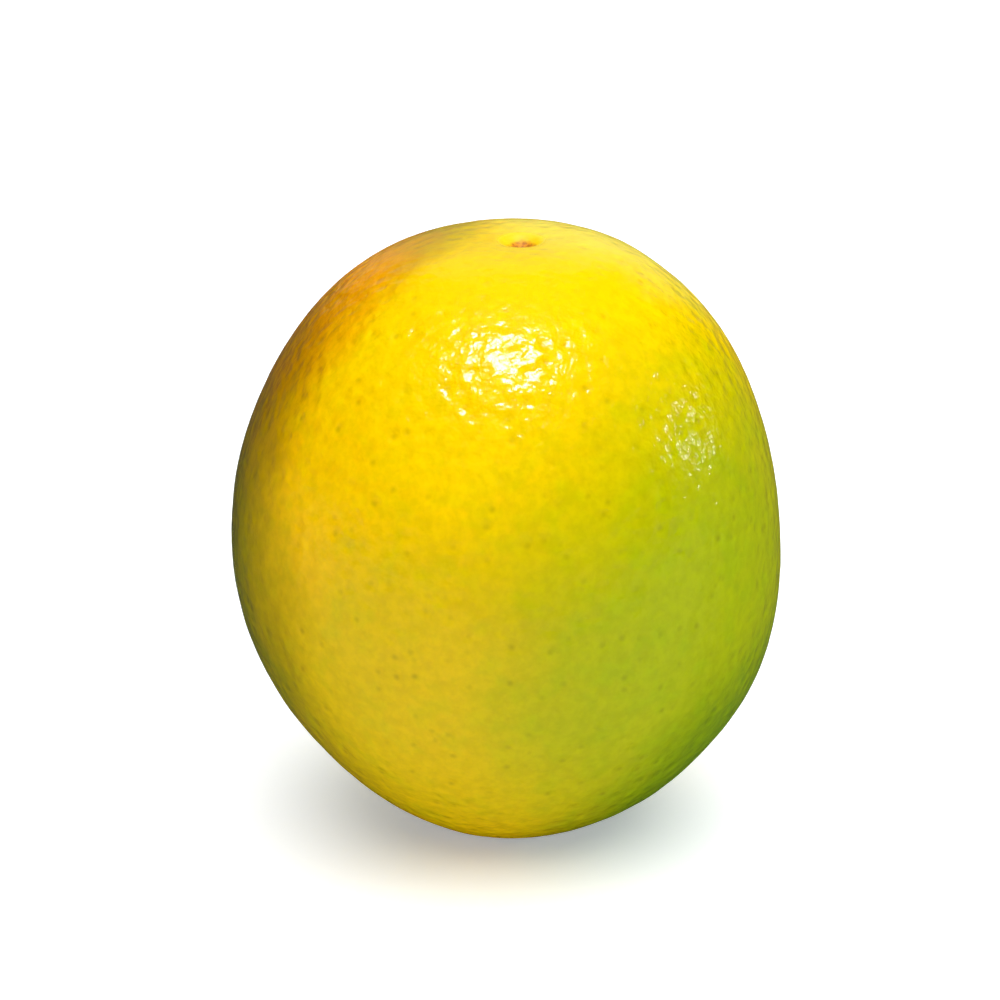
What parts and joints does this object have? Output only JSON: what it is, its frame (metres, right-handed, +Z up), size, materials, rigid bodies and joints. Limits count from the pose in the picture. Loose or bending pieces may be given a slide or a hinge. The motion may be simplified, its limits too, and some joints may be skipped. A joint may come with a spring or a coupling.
{
  "type": "orange",
  "caption": "Whole oval sweet orange with waxy, finely pitted peel and a small stem pit in its crown, resting on a small flat spot under it.",
  "frame": {"origin": "centre of the small flat spot that the fruit rests on", "axes": "+Z up along the core towards the stem pit, +X to the right of the fruit as seen from its front, -Y towards its front"},
  "size_m": [0.0765, 0.0764, 0.0856],
  "materials": {
    "peel": "satin"
  },
  "bodies": {
    "root": {"orange": "peel"}
  },
  "joints": []
}
